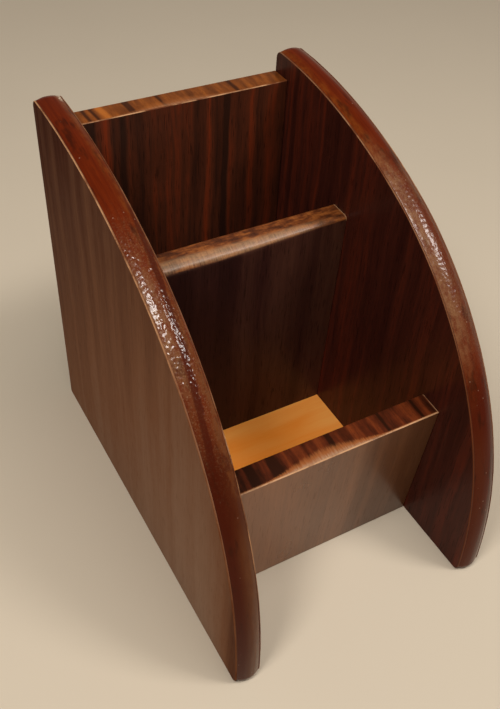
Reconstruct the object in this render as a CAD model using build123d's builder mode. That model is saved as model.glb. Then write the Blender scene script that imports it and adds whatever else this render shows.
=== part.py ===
from build123d import *
import os

# Open pen stand of laminated board: two side boards with a bowed front edge carry a high back, a
# middle divider and a low front board, and a thin raw floor board lies between them. Each board is
# a bare core with a thin laminate sheet on both faces, and blind dowels join the boards.
#
# X runs across the stand, +Y to its rear and +Z up. The origin is on the table, in the middle of
# the stand's footprint. A distance called a setting is measured forward from the rear edge.

os.makedirs("parts", exist_ok=True)

# ---- Driving dimensions, in millimetres and degrees -------------------------------------------

# Board stock
core_thickness = 8.0  # bare board
laminate = 0.55  # sheet on each face
inner_width = 82.8  # clear width between the side boards
joint_gap = 0.15  # glue gap at the ends of the cross boards and round the floor board

# Side boards: the bowed edge is three tangent arcs, from toe to knee to shoulder to crest
side_depth = 148.0  # toe to rear edge
side_height = 135.5  # at the rear edge
knee_rise = 32.5  # knee above the table
knee_setback = 3.1  # knee behind the toe
shoulder_drop = 15.9  # shoulder below the crest
shoulder_setting = 76.2
toe_radius = 3.2  # corner where the bow meets the table
toe_cut = 0.6  # height of that corner's rounding that the table cuts off
edge_crown = 1.3  # rise of the rounded core edge above its two arrises
arris_ease = 0.3  # chamfer on the arris of the outer laminate

# Cross boards, with heights up to the top arris of each front face
back_drop = 7.8  # top of the back below the crest of the side boards
divider_height = 97.0
divider_setting = 52.3  # front face at the table
divider_lean_angle = 1.6  # towards the front
divider_nose = 4.8  # radius of its core's top arris at the front
divider_heel = 0.45  # the same at the rear
front_height = 57.7
front_setting = 115.7
front_lean_angle = 4.1
floor_thickness = 3.7

# Blind dowels in the ends of the cross boards
dowel_diameter = 4.0
dowel_in_side = 5.0  # length of a dowel beyond the side board's inner face
dowel_in_end = 9.0  # length of a dowel on the near side of that face
dowel_chamfer = 0.5
dowel_fit = 0.03  # bore radius over dowel radius
bore_spare = 0.6  # bore beyond each end of a dowel
dowel_margin = 15.0  # outermost dowels from the top and the foot of their board
back_rows = 3
short_rows = 2  # in the divider and in the front board

# Panel pins driven up through the floor board into the divider's foot
pin_diameter = 1.4
pin_length = 18.0
pin_head_diameter = 2.8
pin_head_thickness = 0.8
pin_point = 1.6  # length of the cone at the tip
pin_tip_diameter = 0.2
pin_sink = 0.2  # underside of the head above the table
pin_fit = 0.02  # hole radius over pin radius, and hole beyond the tip
pin_spacing = 28.0
pin_count = 3

# ---- Places worked out from them ---------------------------------------------------------------

board_thickness = core_thickness + 2 * laminate
back_height = side_height - back_drop
rear_y = (side_depth + edge_crown) / 2
side_face = inner_width / 2  # inner face of the right side board
core_start = side_face + laminate
core_end = core_start + core_thickness
half_length = side_face - joint_gap  # of the cross boards and the floor board
trim = board_thickness  # drawn beyond a level or upright cut, then cut off
bore_radius = dowel_diameter / 2 + dowel_fit
standing = (Align.CENTER, Align.CENTER, Align.MIN)
corner = (Align.MIN, Align.MIN)


def board_plane(setting, angle):
    """Section plane of a cross board: x goes rearward through it, y up along its front face."""
    through = Vector(0, 1, 0).rotate(Axis.X, angle)
    return Plane(origin=(0, rear_y - setting, 0), x_dir=through, z_dir=(1, 0, 0))


def sloped(height, plane):
    """Length along a board's leaning front face up to a height above the table."""
    return height / plane.y_dir.Z


def depth_place(plane, depth, height):
    """World Y of the point that is so deep behind a board's front face and so high."""
    along = (height - depth * plane.x_dir.Z) / plane.y_dir.Z
    return plane.origin.Y + depth * plane.x_dir.Y + along * plane.y_dir.Y


def dowel_planes(plane, height, foot, rows):
    """Planes on the right side board's inner face at a board's dowels, facing the side board."""
    lowest = foot + dowel_margin
    step = (sloped(height, plane) - dowel_margin - lowest) / (rows - 1)
    centres = [plane.from_local_coords((board_thickness / 2, lowest + row * step, 0))
               for row in range(rows)]
    return [Plane(origin=(side_face, centre.Y, centre.Z), z_dir=(1, 0, 0)) for centre in centres]


back_plane = board_plane(board_thickness, 0)
divider_plane = board_plane(divider_setting, divider_lean_angle)
front_plane = board_plane(front_setting, front_lean_angle)

back_top = sloped(back_height, back_plane)
divider_top = sloped(divider_height, divider_plane)
front_top = sloped(front_height, front_plane)

back_joints = dowel_planes(back_plane, back_height, 0, back_rows)
divider_joints = dowel_planes(divider_plane, divider_height, floor_thickness, short_rows)
front_joints = dowel_planes(front_plane, front_height, 0, short_rows)

pin_y = depth_place(divider_plane, board_thickness / 2, floor_thickness)


def finish(piece, name):
    """Name a finished piece and write it."""
    piece.part.label = name
    export_step(piece.part, f"parts/{name}.step")


# ---- Side boards -------------------------------------------------------------------------------

# The outline is drawn with x to the rear and y up, as on Plane.YZ
toe = (rear_y - side_depth, -toe_cut)
knee = (rear_y - side_depth + knee_setback, knee_rise)
shoulder = (rear_y - shoulder_setting, side_height - shoulder_drop)
crest = (rear_y, side_height)
heel = (rear_y, -toe_cut)

with BuildSketch() as side_outline:
    with BuildLine():
        shin = TangentArc(toe, knee, tangent=(0, 1))
        chest = TangentArc(knee, shoulder, tangent=shin % 1)
        brow = TangentArc(shoulder, crest, tangent=chest % 1)
        Polyline(crest, heel, toe)
    make_face()
    fillet(side_outline.vertices().sort_by(Axis.X)[0], toe_radius)

bow_direction = brow % 1
bow_end = Vector(crest) + bow_direction * trim


def side_sheet(start, thickness):
    """Flat sheet in the outline of the right side board, with the dowel bores that reach it."""
    with BuildPart() as sheet:
        with BuildSketch(Plane.YZ.offset(start)):
            add(side_outline.sketch)
        extrude(amount=thickness)
        split(bisect_by=Plane.XY, keep=Keep.TOP)
        with Locations(*back_joints, *divider_joints, *front_joints):
            Cylinder(bore_radius, dowel_in_side + bore_spare, align=standing, mode=Mode.SUBTRACT)
    return sheet


# The core's bowed edge is rounded from arris to arris: a segment of a circle swept along the bow
with BuildPart() as side_core:
    add(side_sheet(core_start, core_thickness).part)
    bow_plane = Plane.YZ.offset(core_start + core_thickness / 2)
    bow_edges = [bow_plane.from_local_coords(edge)
                 for edge in side_outline.edges().filter_by(GeomType.CIRCLE)]
    bow_tail = bow_plane.from_local_coords(Edge.make_line(crest, bow_end))
    # Section plane at the bow's rear end: x goes across the board, y outwards
    section_plane = Plane(origin=bow_plane.from_local_coords(bow_end), x_dir=(1, 0, 0),
                          z_dir=(0, -bow_direction.X, -bow_direction.Y))
    with BuildSketch(section_plane):
        with BuildLine():
            bulge = SagittaArc((-core_thickness / 2, 0), (core_thickness / 2, 0), edge_crown)
            Line(bulge @ 1, bulge @ 0)
        make_face()
    sweep(path=Wire([*bow_edges, bow_tail]))
    split(bisect_by=Plane.XY, keep=Keep.TOP)
    split(bisect_by=Plane.XZ.offset(-rear_y), keep=Keep.TOP)

side_inner_laminate = side_sheet(side_face, laminate)

with BuildPart() as side_outer_laminate:
    add(side_sheet(core_end, laminate).part)
    outer_face = side_outer_laminate.faces().sort_by(Axis.X)[-1]
    chamfer(outer_face.edges().filter_by(GeomType.CIRCLE), arris_ease)

for kind, right in (("core", side_core), ("inner_laminate", side_inner_laminate),
                    ("outer_laminate", side_outer_laminate)):
    finish(right, f"right_side_{kind}")
    with BuildPart() as left:
        mirror(right.part, about=Plane.YZ)
    finish(left, f"left_side_{kind}")

# ---- Cross boards ------------------------------------------------------------------------------


def board_layer(plane, near, thickness, top, joints=()):
    """Flat layer of a cross board that stands on the table, bored for the dowels that enter it.

    It starts so far behind the front face and ends so high up the slope. Its right half is drawn
    and mirrored.
    """
    with BuildPart() as layer:
        with BuildSketch(plane):
            with Locations((near, -trim)):
                Rectangle(thickness, top + trim, align=corner)
        extrude(amount=half_length)
        split(bisect_by=Plane.XY, keep=Keep.TOP)
        if joints:
            with Locations(*joints):
                Hole(bore_radius, depth=dowel_in_end + bore_spare)
        mirror(about=Plane.YZ)
    return layer


# The back shows its front laminate up to the top arris; a strip covers the rest of its top edge
back_core = board_layer(back_plane, laminate, core_thickness, back_top - laminate, back_joints)
back_front_laminate = board_layer(back_plane, 0, laminate, back_top)
back_rear_laminate = board_layer(back_plane, board_thickness - laminate, laminate,
                                 back_top - laminate)

# The front board is made the same way
front_core = board_layer(front_plane, laminate, core_thickness, front_top - laminate, front_joints)
front_outer_laminate = board_layer(front_plane, 0, laminate, front_top)
front_inner_laminate = board_layer(front_plane, board_thickness - laminate, laminate,
                                   front_top - laminate)


def top_strip(plane, top):
    """Laminate strip on a board's top edge, behind the front laminate."""
    with BuildPart() as strip:
        with BuildSketch(plane):
            with Locations((laminate, top - laminate)):
                Rectangle(board_thickness - laminate, laminate, align=corner)
        extrude(amount=half_length, both=True)
    return strip


back_top_strip = top_strip(back_plane, back_top)
front_top_strip = top_strip(front_plane, front_top)


def divider_outline(skin):
    """Outline of the divider's core, with its rounded top, under a skin of some thickness."""
    with BuildSketch() as outline:
        with Locations((laminate - skin, -trim)):
            Rectangle(core_thickness + 2 * skin, divider_top - laminate + skin + trim, align=corner)
        front_corner = outline.vertices().group_by(Axis.Y)[-1].sort_by(Axis.X)[0]
        fillet(front_corner, divider_nose + skin)
        rear_corner = outline.vertices().group_by(Axis.Y)[-1].sort_by(Axis.X)[-1]
        fillet(rear_corner, divider_heel + skin)
    return outline.sketch


with BuildPart() as divider_core:
    with BuildSketch(divider_plane):
        add(divider_outline(0))
    extrude(amount=half_length)
    split(bisect_by=Plane.XY.offset(floor_thickness), keep=Keep.TOP)
    with Locations(*divider_joints):
        Hole(bore_radius, depth=dowel_in_end + bore_spare)
    mirror(about=Plane.YZ)
    with Locations((0, pin_y, 0)):
        with GridLocations(pin_spacing, 0, pin_count, 1):
            Cylinder(pin_diameter / 2 + pin_fit, pin_sink + pin_length + pin_fit, align=standing,
                     mode=Mode.SUBTRACT)

# One sheet runs up the divider's front, over its top and down its rear
with BuildPart() as divider_wrap:
    with BuildSketch(divider_plane):
        add(divider_outline(laminate))
        add(divider_outline(0), mode=Mode.SUBTRACT)
    extrude(amount=half_length, both=True)
    split(bisect_by=Plane.XY.offset(floor_thickness), keep=Keep.TOP)

# ---- Floor board -------------------------------------------------------------------------------

floor_rear = back_plane.origin.Y - joint_gap
floor_front = depth_place(front_plane, board_thickness, 0) + joint_gap

with BuildPart() as floor_board:
    with BuildSketch():
        with Locations((0, floor_front)):
            Rectangle(2 * half_length, floor_rear - floor_front, align=(Align.CENTER, Align.MIN))
    extrude(amount=floor_thickness)
    with Locations((0, pin_y, 0)):
        with GridLocations(pin_spacing, 0, pin_count, 1):
            Cylinder(pin_diameter / 2 + pin_fit, floor_thickness, align=standing,
                     mode=Mode.SUBTRACT)
            Cylinder(pin_head_diameter / 2 + pin_fit, pin_sink + pin_head_thickness,
                     align=standing, mode=Mode.SUBTRACT)

with BuildPart() as floor_pins:
    with Locations((0, pin_y, pin_sink)):
        with GridLocations(pin_spacing, 0, pin_count, 1):
            Cylinder(pin_head_diameter / 2, pin_head_thickness, align=standing)
            Cylinder(pin_diameter / 2, pin_length - pin_point, align=standing)
    with Locations((0, pin_y, pin_sink + pin_length - pin_point)):
        with GridLocations(pin_spacing, 0, pin_count, 1):
            Cone(pin_diameter / 2, pin_tip_diameter / 2, pin_point, align=standing)

# ---- Dowels ------------------------------------------------------------------------------------


def dowels(joints):
    """The dowels of one cross board, drawn at its right end and mirrored to its left end."""
    with BuildPart() as group:
        for joint in joints:
            with BuildSketch(joint.offset(-dowel_in_end)):
                Circle(dowel_diameter / 2)
        extrude(amount=dowel_in_end + dowel_in_side)
        chamfer(group.edges().filter_by(GeomType.CIRCLE), dowel_chamfer)
        mirror(about=Plane.YZ)
    return group


back_dowels = dowels(back_joints)
divider_dowels = dowels(divider_joints)
front_dowels = dowels(front_joints)

for piece, name in ((back_core, "back_core"), (back_front_laminate, "back_front_laminate"),
                    (back_rear_laminate, "back_rear_laminate"), (back_top_strip, "back_top_strip"),
                    (divider_core, "divider_core"), (divider_wrap, "divider_wrap"),
                    (front_core, "front_core"), (front_outer_laminate, "front_outer_laminate"),
                    (front_inner_laminate, "front_inner_laminate"),
                    (front_top_strip, "front_top_strip"), (floor_board, "floor_board"),
                    (floor_pins, "floor_pins"), (back_dowels, "back_dowels"),
                    (divider_dowels, "divider_dowels"), (front_dowels, "front_dowels")):
    finish(piece, name)
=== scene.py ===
"""Looks of the two-bay pen stand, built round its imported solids.

X runs across the stand, +Y to its rear and +Z up, with the origin on the table. Sizes in this file
are in millimetres and are turned into metres when a mesh, a lamp or the camera is made.
"""

import logging
import math
from dataclasses import dataclass, field, replace
from enum import Enum
from typing import Any, Optional, Sequence, Union

import bpy
import numpy as np
from mathutils import Matrix, Vector


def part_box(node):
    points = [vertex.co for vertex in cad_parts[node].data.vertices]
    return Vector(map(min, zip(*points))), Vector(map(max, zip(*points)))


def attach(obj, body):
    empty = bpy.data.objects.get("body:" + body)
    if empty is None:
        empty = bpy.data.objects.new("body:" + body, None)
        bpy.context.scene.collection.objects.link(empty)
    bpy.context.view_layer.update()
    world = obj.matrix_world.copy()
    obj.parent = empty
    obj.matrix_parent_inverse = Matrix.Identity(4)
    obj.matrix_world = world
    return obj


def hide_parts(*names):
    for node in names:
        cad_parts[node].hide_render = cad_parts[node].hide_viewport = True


log = logging.getLogger("pen_stand")

MM = 0.001
REAR = 74.65  # rear edge of the boards, behind the origin
RGB = tuple[float, float, float]

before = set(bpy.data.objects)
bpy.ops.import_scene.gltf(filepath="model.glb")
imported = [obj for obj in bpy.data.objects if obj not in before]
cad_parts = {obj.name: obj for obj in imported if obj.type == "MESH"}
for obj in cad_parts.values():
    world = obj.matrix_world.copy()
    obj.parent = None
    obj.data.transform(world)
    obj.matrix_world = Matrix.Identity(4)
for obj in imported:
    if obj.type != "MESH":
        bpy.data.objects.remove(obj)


# ---- Shader arithmetic ---------------------------------------------------------------------------


class Value:
    """One output socket of a material, with arithmetic that adds Math nodes to that material."""

    def __init__(self, brush: "Brush", socket: bpy.types.NodeSocket) -> None:
        """Keep the socket and the brush that owns its material."""
        self.brush = brush
        self.socket = socket

    def __add__(self, other: "Number") -> "Value":
        """Sum."""
        return self.brush.math("ADD", self, other)

    def __sub__(self, other: "Number") -> "Value":
        """Difference."""
        return self.brush.math("SUBTRACT", self, other)

    def __rsub__(self, other: "Number") -> "Value":
        """Difference from a plain number."""
        return self.brush.math("SUBTRACT", other, self)

    def __mul__(self, other: "Number") -> "Value":
        """Product."""
        return self.brush.math("MULTIPLY", self, other)

    def __truediv__(self, other: "Number") -> "Value":
        """Quotient."""
        return self.brush.math("DIVIDE", self, other)

    def __pow__(self, other: "Number") -> "Value":
        """Power."""
        return self.brush.math("POWER", self, other)

    def __abs__(self) -> "Value":
        """Size without its sign."""
        return self.brush.math("ABSOLUTE", self)

    __radd__ = __add__
    __rmul__ = __mul__

    def most(self, other: "Number") -> "Value":
        """The larger of two values."""
        return self.brush.math("MAXIMUM", self, other)

    def least(self, other: "Number") -> "Value":
        """The smaller of two values."""
        return self.brush.math("MINIMUM", self, other)

    def step(self, low: float, high: float) -> "Value":
        """Smooth step: 0 at low, 1 at high, eased between; low may be above high.

        Args:
            low: Value at which the step is 0.
            high: Value at which the step is 1.

        Returns:
            The eased value, from 0 to 1.
        """
        ends = {"From Min": min(low, high), "From Max": max(low, high),
                "To Min": float(low > high), "To Max": float(low <= high)}
        found = self.brush.node("ShaderNodeMapRange", {"interpolation_type": "SMOOTHSTEP"},
                                {"Value": self, **ends})
        return Value(self.brush, found.outputs["Result"])

    def band(self, centre: float, width: float) -> "Value":
        """Soft band: 1 at the centre, easing to 0 at half a width to each side."""
        return abs(self - centre).step(width / 2, 0.0)


Number = Union[Value, float]


class Brush:
    """Adds nodes to one material, or to the surround."""

    def __init__(self, name: str, kinds: Any = None) -> None:
        """Start an empty material, or another kind of data that holds nodes.

        Args:
            name: Name of the material.
            kinds: Where given, the collection of the other kind.
        """
        self.material = (bpy.data.materials if kinds is None else kinds).new(name)
        self.material.use_nodes = True
        self.tree = self.material.node_tree
        self.tree.nodes.clear()

    def node(self, kind: str, settings: dict[str, Any], sockets: dict[Any, Any]) -> bpy.types.Node:
        """Add any node.

        Args:
            kind: Blender's name of the node's type.
            settings: Properties, set first; "stops" holds a ramp's (place, colour) pairs.
            sockets: A number, colour, vector or Value for each named or numbered input.

        Returns:
            The new node.
        """
        made = self.tree.nodes.new(kind)
        for name, setting in settings.items():
            if name == "stops":
                self._fill_ramp(made.color_ramp, setting)
            else:
                setattr(made, name, setting)
        for name, given in sockets.items():
            if isinstance(given, Value):
                self.tree.links.new(given.socket, made.inputs[name])
            else:
                made.inputs[name].default_value = given
        return made

    @staticmethod
    def _fill_ramp(ramp: bpy.types.ColorRamp, stops: Sequence[tuple[float, RGB]]) -> None:
        """Put the stops into a ramp, whose two first stops are already there.

        Args:
            ramp: The ramp.
            stops: Its (place, colour) pairs, in rising order.
        """
        while len(ramp.elements) < len(stops):
            ramp.elements.new(1.0)
        for element, (place, colour) in zip(ramp.elements, stops):
            element.position = place
            element.color = (*colour, 1.0)

    def math(self, operation: str, *terms: Number) -> Value:
        """Result of one Math node on one, two or three terms."""
        made = self.node("ShaderNodeMath", {"operation": operation}, dict(enumerate(terms)))
        return Value(self, made.outputs[0])

    def axes(self) -> tuple[Value, Value, Value]:
        """Object coordinates in millimetres.

        Returns:
            Values across the stand, to its rear, and up.
        """
        place = self.node("ShaderNodeTexCoord", {}, {})
        parts = self.node("ShaderNodeSeparateXYZ", {}, {0: Value(self, place.outputs["Object"])})
        x, y, z = (Value(self, socket) * (1 / MM) for socket in parts.outputs)
        return x, y, z

    def mark(self, name: str) -> Value:
        """A number that the mesh keeps at its points."""
        made = self.node("ShaderNodeAttribute", {"attribute_name": name}, {})
        return Value(self, made.outputs["Fac"])

    def point(self, x: Number, y: Number, z: Number) -> Value:
        """Vector of three values."""
        return Value(self, self.node("ShaderNodeCombineXYZ", {}, {0: x, 1: y, 2: z}).outputs[0])

    def noise(self, place: Value, size: float, detail: float = 2.0, rough: float = 0.5) -> Value:
        """Noise from 0 to 1 whose patches are about as large as a size, in the place's units.

        Args:
            place: Vector at which the noise is read.
            size: Width of a patch.
            detail: Octaves.
            rough: Weight of each finer octave.

        Returns:
            The noise.
        """
        made = self.node("ShaderNodeTexNoise", {},
                         {"Vector": place, "Scale": 1 / size, "Detail": detail, "Roughness": rough})
        return Value(self, made.outputs[0])

    def spots(self, place: Value, size: float, radius: float) -> Value:
        """Round spots scattered one to a cell: 1 in a spot's middle, 0 beyond its radius.

        Args:
            place: Vector at which the spots are read.
            size: Width of a cell.
            radius: Radius of a spot.

        Returns:
            The spots.
        """
        made = self.node("ShaderNodeTexVoronoi", {"feature": "F1"},
                         {"Vector": place, "Scale": 1 / size})
        return Value(self, made.outputs["Distance"]).step(radius / size, 0.0)

    def mix(self, share: Number, first: Union[Value, RGB], second: Union[Value, RGB]) -> Value:
        """Colour that goes from the first to the second as the share goes from 0 to 1.

        Args:
            share: Share of the second colour, held between 0 and 1.
            first: Colour at 0.
            second: Colour at 1.

        Returns:
            The mixed colour.
        """
        ends = [colour if isinstance(colour, Value) else (*colour, 1.0) for colour in (first, second)]
        made = self.node("ShaderNodeMix", {"data_type": "RGBA", "clamp_factor": True},
                         {0: share, 6: ends[0], 7: ends[1]})
        return Value(self, made.outputs[2])

    def ramp(self, value: Value, stops: Sequence[tuple[float, RGB]]) -> Value:
        """Colour read from a ramp, at a value held between 0 and 1."""
        made = self.node("ShaderNodeValToRGB", {"stops": stops}, {0: value.most(0.0).least(1.0)})
        return Value(self, made.outputs[0])


@dataclass
class Coat:
    """What one finish says at each point: its relief is in millimetres, and its lacquer from 0 to 1."""

    colour: Value
    roughness: Number
    relief: Number
    lacquer: Number = 0.0

    def over(self, lower: "Coat", share: Value) -> "Coat":
        """This coat laid over a lower one where the share is 1.

        Args:
            lower: The coat that shows where the share is 0.
            share: Where this coat shows.

        Returns:
            Both in one, with the lower one's lacquer.
        """
        brush = share.brush
        return Coat(brush.mix(share, lower.colour, self.colour),
                    lower.roughness + (self.roughness - lower.roughness) * share,
                    lower.relief + (self.relief - lower.relief) * share, lower.lacquer)


@dataclass(frozen=True)
class Gloss:
    """Constants of the shader: what is the same all over a surface.

    A low index of refraction stands for a satin, hand-worn face that mirrors little of the room,
    and the tint warms what it does mirror at a slant.
    """

    ior: float = 1.5
    metallic: float = 0.0
    tint: RGB = (1.0, 1.0, 1.0)
    lacquer_roughness: float = 0.12

    def close(self, brush: Brush, coat: Coat) -> bpy.types.Material:
        """Finish the material with one Principled shader and a bump.

        Args:
            brush: Brush of the material.
            coat: Colour, roughness, relief and lacquer.

        Returns:
            The finished material.
        """
        bump = brush.node("ShaderNodeBump", {}, {"Strength": 1.0, "Distance": MM,
                                                 "Height": coat.relief})
        shader = brush.node("ShaderNodeBsdfPrincipled", {},
                            {"Base Color": coat.colour, "Roughness": coat.roughness,
                             "Normal": Value(brush, bump.outputs[0]), "IOR": self.ior,
                             "Metallic": self.metallic, "Specular Tint": (*self.tint, 1.0),
                             "Coat Weight": coat.lacquer, "Coat Roughness": self.lacquer_roughness})
        brush.node("ShaderNodeOutputMaterial", {}, {"Surface": Value(brush, shader.outputs[0])})
        return brush.material


# ---- Finishes ------------------------------------------------------------------------------------


class Grain(Enum):
    """Which way a board's stripes run, as (axis across the stripes, axis along them)."""

    UP_ON_A_SIDE = (1, 2)
    UP_ON_A_CROSS_BOARD = (0, 2)
    OVER_A_TOP_EDGE = (0, 1)


@dataclass(frozen=True)
class Stripe:
    """One marked stripe of the figure: where it lies across the grain, its width and its tone."""

    at: float
    width: float
    tone: float


@dataclass(frozen=True)
class StripedLaminate:
    """Printed rosewood laminate under satin lacquer: wide soft stripes, fine fibres, dark pores.

    The slope is how fast the tone falls across and along the grain, per millimetre, the stretch how
    much longer than wide a streak is, and "pores" how dark the pores are.
    """

    grain: Grain
    seed: float = 0.0
    dark: RGB = (0.030, 0.0075, 0.0030)
    middle: RGB = (0.066, 0.0150, 0.0050)
    light: RGB = (0.135, 0.0240, 0.0062)
    stripe_width: float = 6.5
    shine: float = 0.30
    stripes: tuple[Stripe, ...] = ()
    slope: tuple[float, float] = (0.0, 0.0)
    contrast: float = 1.0
    stretch: float = 45.0
    pores: float = 0.55
    mean_tone: float = 0.42
    mean_height: float = 70.0

    def coat(self, brush: Brush) -> Coat:
        """Lay the stripes, the fibres and the pores on a board.

        The tone is a weighted sum of streaks of four widths, from stripes to fibres. It is pulled
        towards its mean by the contrast, sloped, and raised or lowered by the marked stripes, and
        a ramp turns it into colour.

        Args:
            brush: Brush of the material.

        Returns:
            The laminate's coat.
        """
        axes = brush.axes()
        across, along = (axes[k] for k in self.grain.value)
        sway = brush.noise(brush.point(across / 30, along / 45, self.seed), 1.0)
        bent = across + (sway - 0.5) * 5.0

        def streaks(place: Value, shorter: float, number: int, *texture: float) -> Value:
            """Noise read at (place, along / length), so that a patch is a streak along the grain."""
            return brush.noise(brush.point(place, along / (self.stretch * shorter),
                                           self.seed + number), *texture)

        wide = streaks(bent, 1.0, 3, self.stripe_width, 2.0)
        narrow = streaks(bent, 0.7, 7, 1.3, 2.0, 0.6)
        fibre = streaks(across, 1.1, 11, 0.32, 2.0, 0.65)
        pores = streaks(across, 0.35, 17, 0.42, 1.0).step(0.60, 0.70)
        blotch = streaks(across / 2, 0.2, 23, 2.0, 3.0, 0.6)
        tone = wide.step(0.30, 0.72) * 0.56 + narrow.step(0.30, 0.72) * 0.24 + (fibre - 0.5) * 0.24
        tone = tone + (blotch - 0.5) * 0.5
        tone = (tone - self.mean_tone) * self.contrast + self.mean_tone
        tone = tone - across * self.slope[0] - (along - self.mean_height) * self.slope[1]
        for stripe in self.stripes:
            tone = tone + bent.band(stripe.at, stripe.width) * stripe.tone
        colour = brush.ramp(tone, ((0.05, self.dark), (self.mean_tone, self.middle),
                                   (0.90, self.light)))
        colour = brush.mix(pores * self.pores, colour, tuple(part * 0.35 for part in self.dark))
        smear = brush.noise(brush.point(*axes), 22.0, 3.0, 0.6)
        roughness = self.shine + (smear - 0.5) * 0.16 + pores * 0.12
        return Coat(colour, roughness, (fibre - 0.5) * 0.010 - pores * 0.006)


@dataclass(frozen=True)
class CutEdge:
    """Pale cut edge of a laminate sheet, worn bare in places and stained in others."""

    seed: float
    wear: float = 0.5
    pale: RGB = (0.55, 0.285, 0.135)
    stained: RGB = (0.13, 0.036, 0.012)

    def coat(self, brush: Brush, fade: Optional[Value] = None) -> Coat:
        """Mix the worn and the stained tone along the edge.

        Args:
            brush: Brush of the material.
            fade: Where given, how far the edge has gone over to the stained tone.

        Returns:
            The edge's coat.
        """
        place = brush.point(*brush.axes())
        patch = brush.noise(place, 9.0, 2.0, 0.6)
        grit = brush.noise(place, 0.8, 2.0, 0.6)
        worn = (patch + (grit - 0.5) * 0.25 + (self.wear - 0.5)).step(0.28, 0.66)
        if fade is not None:
            worn = worn * (1.0 - fade)
        return Coat(brush.mix(worn, self.stained, self.pale), 0.42, (grit - 0.5) * 0.03)


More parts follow.
